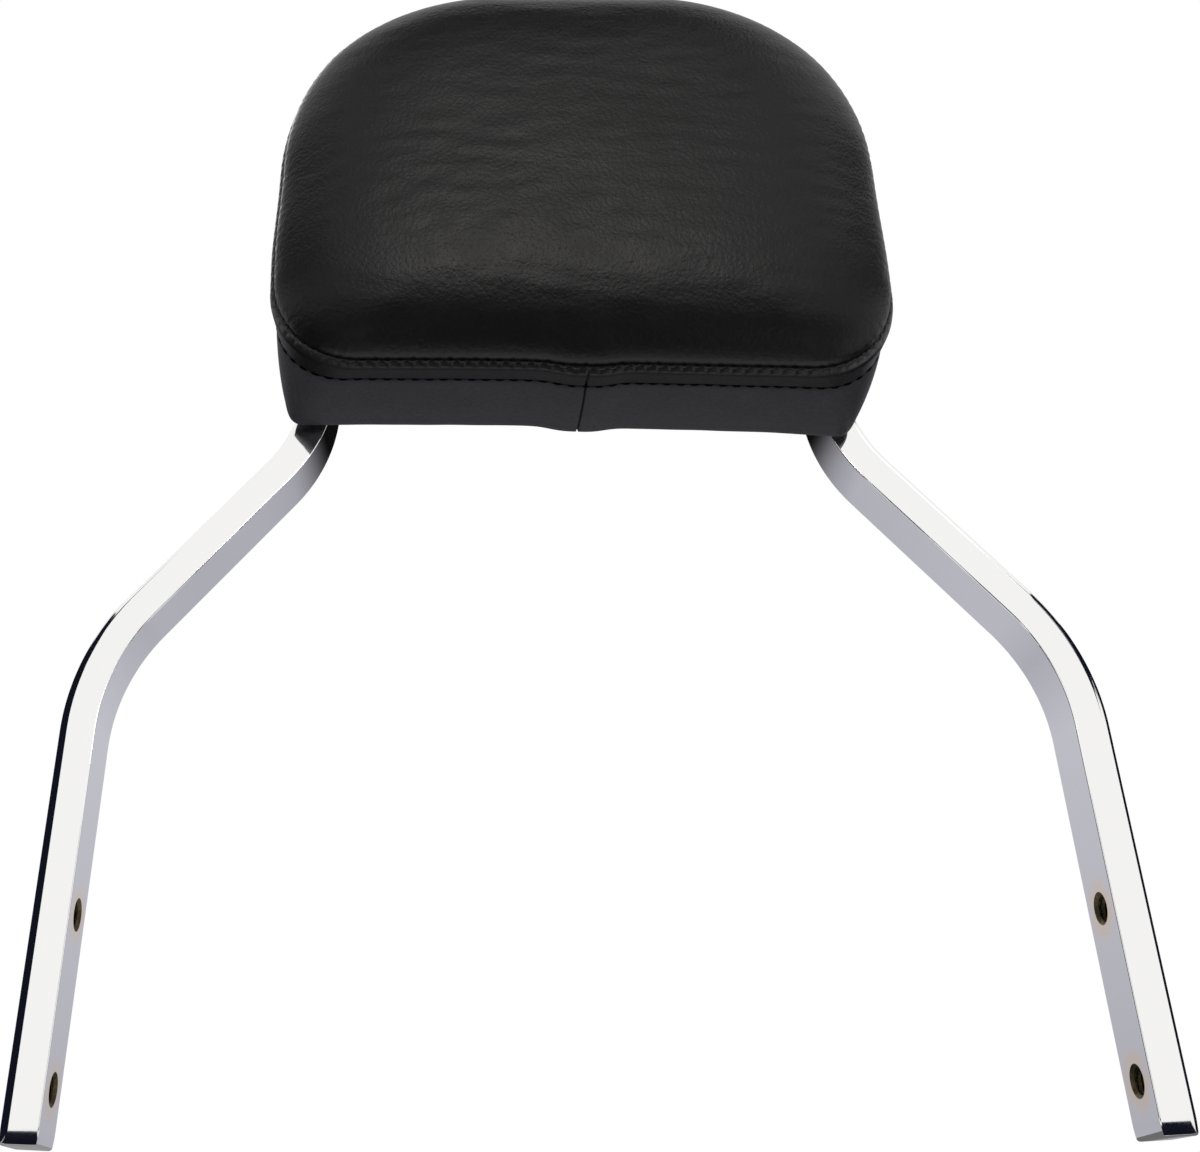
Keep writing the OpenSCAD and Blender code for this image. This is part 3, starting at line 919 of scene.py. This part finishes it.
print("pebbles of", PEBBLE * 1000, "and", SMALL_PEBBLE * 1000, "mm")

# %% [markdown]
# The front panel and the boxing are the same leather, but the panel is polished by use and the boxing is dull
# with a cold tint. The boxing also has colour that follows its depth behind the front seam: the welt is painted
# darker as painted shade under its roll, its shoulder has a little gloss, the join is a nearly black line, and
# the fold at the second row is a nearly black line of painted shade in its groove.

# %% Leather
LIGHTER, DARKER = 1.35, 0.8
# The black of the join's line, and of the painted shade in the groove at the second row.
JOIN_BLACK_AND_GROOVE_SHADE = 0.001


def shades(graph, tone, blue, pebble, patches):
    light = grey(tone * LIGHTER, 1.04, blue - 0.05)
    return graph.mix(grey(tone * DARKER, 0.98, blue), light, patches * 0.7 + pebble * 0.5)


def shine(graph, where, gloss, patches):
    return gloss + (graph.noise(where, 0.008, detail=4) - 0.5) * 0.16 + (patches - 0.5) * 0.1


def panel_leather(graph):
    where = graph.place()
    relief, pebble, patches = grained(graph, where, 0.00012, 0.00016)
    return {"Base Color": shades(graph, 0.0064, 1.02, pebble, patches), "Specular IOR Level": 0.21,
            "Roughness": shine(graph, where, 0.38, patches), "Normal": relief}


def boxing_leather(graph):
    tone = 0.037
    where = graph.place()
    relief, pebble, patches = grained(graph, where, 0.00009, 0.00006)
    across, depth, up = graph.split(where)
    from_seam = (depth - seam_y * MM) / MM
    # The strip between the two rows: it is a little smoother, and below its colour is darkened as painted shade.
    welt = 1 - from_seam.step(WELT_W - 0.5, WELT_W + 0.3)
    slant = (JOIN_BACK_X - JOIN_FRONT_X) / (hem_y - seam_y)
    beside_join = abs(across / MM - JOIN_FRONT_X - from_seam * slant)
    join = (1 - beside_join.step(0.12, 0.42)) * (1 - up.step((pad_z + 8) * MM, (pad_z + 12) * MM))
    # A nearly black line along the fold at the second row: painted shade in its groove.
    groove_shade = 1 - abs(from_seam - WELT_W).step(0.10, 0.45)
    # Painted shade: the welt's colour drops to a quarter of the boxing's, for the shade under its roll.
    colour = graph.mix(shades(graph, tone, 1.16, pebble, patches), grey(tone * 0.25), welt)
    return {"Base Color": graph.mix(colour, grey(JOIN_BLACK_AND_GROOVE_SHADE), join.larger(groove_shade)), "Specular IOR Level": 0.07,
            "Roughness": shine(graph, where, 0.46, patches) - welt * 0.06,
            "Coat Weight": 1 - from_seam.step(0.8, 1.8), "Coat Roughness": 0.32, "Normal": relief}


front_leather = finish("leather_front", panel_leather)
side_leather = finish("leather_boxing", boxing_leather)

boxing = swept("pad_boxing", boxing_rings, side_leather, closed=True)
set_outside(boxing)
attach(boxing, "root")
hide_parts("cover_boxing")
print("boxing faces:", len(boxing.data.polygons))

# %% [markdown]
# ## The front panel
# The panel is tight over crowned foam. It starts deep in the seam, rolls out over the edge and flattens
# towards the middle. Shallow wrinkles and slow hollows are real relief here, and the fine grain is left to the
# finish.

# %% Front panel
FRONT_LOOP, FRONT_STEPS, INNER_STEPS = 520, 58, 12
POLE, CROWDING = 0.02, 1.35
CROWN_FLAT, CROWN_ROLL = 5.4, 0.60
SEAM_TUCK, SEAM_TUCK_REACH, SEAM_DEPTH, SEAM_DEPTH_REACH = 0.75, 0.006, 0.5, 0.004
PANEL_PINCH, PANEL_PINCH_HOLE, PANEL_PINCH_REACH, PANEL_WANDER = 0.22, 0.24, 0.035, 0.05
PANEL_JOIN_RISE, PANEL_JOIN_REACH = 1.1, 0.1
HOLLOW, HOLLOW_SEED, HOLLOW_SIZE = 0.14, 3, 48
WRINKLE, WRINKLE_SEED, WRINKLE_SIZE, WRINKLE_STRETCH = 0.05, 5, 9, (0.6, 1.5)
CALM_RIM = 0.12


def crown_rise(s):
    """From 0 at the seam, where s is 1, to 1 in the middle."""
    return (1 - s ** CROWN_FLAT) ** CROWN_ROLL


def field(points, seed, wavelength, count=26):
    """Smooth random hills: a sum of plane waves of about one wavelength, from -1 to 1."""
    rng = np.random.default_rng(seed)
    total = np.zeros(len(points))
    for _ in range(count):
        turn, phase = rng.uniform(0, 2 * math.pi, 2)
        pace = 2 * math.pi / (wavelength * rng.uniform(0.7, 1.5))
        total += np.sin(pace * (points[:, 0] * math.cos(turn) + points[:, 1] * math.sin(turn)) + phase)
    return total / math.sqrt(count)


def front_rings(inset, steps, detailed):
    """Rings from the seam to the middle; the outer skin is detailed, the inner one isn't seen."""
    ring = outline(0, -inset, FRONT_LOOP)
    run = np.arange(FRONT_LOOP) / FRONT_LOOP
    middle = np.array([0, pad_z + PAD_H / 2])
    bulge, _ = near_join(ring)
    ring = settled(ring, 0)
    found = []
    for k in range(steps + 1):
        s = 1 - (k / steps) ** CROWDING * (1 - POLE)
        flat = (ring - middle) * s + middle
        y = np.full(FRONT_LOOP, seam_y - (CROWN - inset) * crown_rise(s))
        if detailed:
            needles = PANEL_PINCH * hump(s, 1, PANEL_PINCH_REACH) * pinch(run, row_a, PANEL_PINCH_HOLE)
            lift = wander(run, PANEL_WANDER) - SEAM_TUCK * hump(s, 1, SEAM_TUCK_REACH) - needles
            lift = lift + bulge * PANEL_JOIN_RISE * hump(s, 1, PANEL_JOIN_REACH)
            flat = flat + outward_normals(ring) * lift[:, None]
            hills = HOLLOW * field(flat, HOLLOW_SEED, HOLLOW_SIZE)
            hills = hills + WRINKLE * field(flat * WRINKLE_STRETCH, WRINKLE_SEED, WRINKLE_SIZE)
            y = y - (1 - hump(s, 1, CALM_RIM)) * hills + SEAM_DEPTH * hump(s, 1, SEAM_DEPTH_REACH)
        found.append(np.stack([flat[:, 0], y, flat[:, 1]], 1))
    return found


outer = front_rings(0, FRONT_STEPS, True)
inner = front_rings(SKIN, INNER_STEPS, False)
front = swept("pad_front", list(reversed(outer)) + inner, front_leather)
set_outside(front)
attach(front, "root")
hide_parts("cover_front")
print("front panel faces:", len(front.data.polygons))

# %% [markdown]
# ## Stitches
# Each stitch is a short thread that dives into a needle hole at both ends. The front row lies in the crease
# between panel and welt. The second row lies in the groove behind the welt. Its black thread is painted darker
# than the front row's, as painted shade of that groove.

# %% Looks of the threads
def thread(dark, light, roughness, variation, gloss):
    """A twisted thread: its plies show as fine bands of two tones."""
    def pattern(graph):
        ply = graph.noise(graph.place(), 0.0004, detail=1)
        return {"Base Color": graph.mix(dark, light, ply), "Roughness": ply * variation + roughness,
                "Specular IOR Level": gloss, "Normal": graph.bump(ply, 0.00006)}
    return pattern


front_thread = finish("thread", thread(grey(0.02), grey(0.06, 1, 1.02), 0.35, 0.2, 0.2))
# The second row's thread is black, painted darker than the front row's for the shade of the groove it lies in.
welt_thread_in_shade = finish("painted_shade_thread", thread(grey(0.001), grey(0.002), 0.8, 0.1, 0.02))

# %% Rows of stitches
THREAD_SIDES = 6
THREAD_BENDS = np.linspace(-1, 1, 7)
DIVE, DIVE_CURVE = 0.55, 3
FRONT_ROW_T = 0.012


def seam_guide(t):
    """The line that a row follows, and the outward direction at each of its points."""
    ring, rise, _ = sewn(t)
    normals = outward_normals(ring)
    return ring + normals * rise[:, None], normals


def stitch_row(name, t, lift, y, stitches, length, radius, skin):
    """Threads of one row at depth y, standing lift proud of the seam at t."""
    ring, normals = seam_guide(t)
    points, faces = [], []
    for k in range(stitches):
        start = len(points)
        for b in THREAD_BENDS:
            at = (k / stitches + b * length / 2 / seam_length) % 1 * LOOP
            i, part = int(at) % LOOP, at - int(at)
            middle = blend(ring[i], ring[(i + 1) % LOOP], part)
            for turn in np.arange(THREAD_SIDES) * 2 * math.pi / THREAD_SIDES:
                out = middle + normals[i] * (lift - DIVE * abs(b) ** DIVE_CURVE + radius * math.cos(turn))
                points.append((out[0], y + radius * math.sin(turn), out[1]))
        last = len(points) - THREAD_SIDES
        for ring_start in range(start, last, THREAD_SIDES):
            faces += sides(THREAD_SIDES, ring_start, ring_start + THREAD_SIDES)
        faces += [tuple(reversed(range(start, start + THREAD_SIDES))), tuple(range(last, last + THREAD_SIDES))]
    piece = mesh_piece(name, points, faces, skin)
    set_outside(piece)
    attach(piece, "root")
    print(name, "has", stitches, "stitches")


stitch_row("stitches_front", FRONT_ROW_T, -0.34, seam_y + 0.1, row_a, 2.5, 0.28, front_thread)
stitch_row("stitches_welt", welt_t, -0.12, seam_y + WELT_W, row_b, 2.7, 0.38, welt_thread_in_shade)

# %% [markdown]
# ## The back of the pad and the fasteners
# These CAD solids already have their right shape, so they stay and only get a finish. The panel behind is
# moulded plastic with a fine spark-eroded grain. The board is plywood, the filling is foam, and the screws,
# nuts, washers and staples are zinc-plated steel.

# %% Finishes of the other solids
def moulded_plastic(graph):
    where = graph.place()
    grain = graph.noise(where, 0.0006, detail=3)
    cloud = graph.noise(where, 0.03, detail=3)
    return {"Base Color": graph.mix(grey(0.016), grey(0.028), cloud), "Roughness": 0.5 + cloud * 0.14,
            "Normal": graph.bump(grain, 0.00012)}


def plywood(graph):
    where = graph.place()
    grain = graph.noise(graph.scaled(where, (0.08, 1, 1)), 0.0018, detail=4)
    _, depth, _ = graph.split(where)
    layer = graph.node("ShaderNodeMath", {"operation": "PINGPONG"}, {0: depth, 1: 0.0015}) / 0.0015
    wood = graph.mix((0.62, 0.42, 0.24, 1), (0.40, 0.24, 0.12, 1), grain * 0.6 + layer.step(0.4, 0.6) * 0.4)
    return {"Base Color": wood, "Roughness": 0.6 + grain * 0.2, "Normal": graph.bump(grain, 0.0001)}


def foam_look(graph):
    where = graph.place()
    cell = graph.cells(where, 0.0009)
    tone = graph.noise(where, 0.02, detail=2)
    return {"Base Color": graph.mix((0.72, 0.62, 0.34, 1), (0.55, 0.45, 0.22, 1), tone), "Roughness": 0.9,
            "Normal": graph.bump(cell, 0.0004)}


def zinc(graph):
    where = graph.place()
    cloud = graph.noise(where, 0.004, detail=4)
    scratch = graph.noise(graph.scaled(where, (1, 1, 7)), 0.0016, detail=2)
    return {"Base Color": graph.mix((0.55, 0.57, 0.60, 1), (0.68, 0.66, 0.60, 1), cloud), "Metallic": 1.0,
            "Roughness": 0.24 + cloud * 0.22, "Normal": graph.bump(cloud + scratch * 0.3, 0.00005)}


LOOKS = {"cross_plate": ("chrome", chrome), "weld_beads": ("chrome", chrome),
         "back_panel": ("moulded_plastic", moulded_plastic), "base_board": ("plywood", plywood),
         "foam_core": ("foam", foam_look)}
for name in ("t_nuts", "pad_screws", "flat_washers", "spring_washers", "staples"):
    LOOKS[name] = ("zinc", zinc)
for name, (label, pattern) in LOOKS.items():
    mesh = nodes[name].data
    mesh.materials.clear()
    mesh.materials.append(finish(label, pattern))
print("solids with a finish of their own:", sorted(LOOKS))
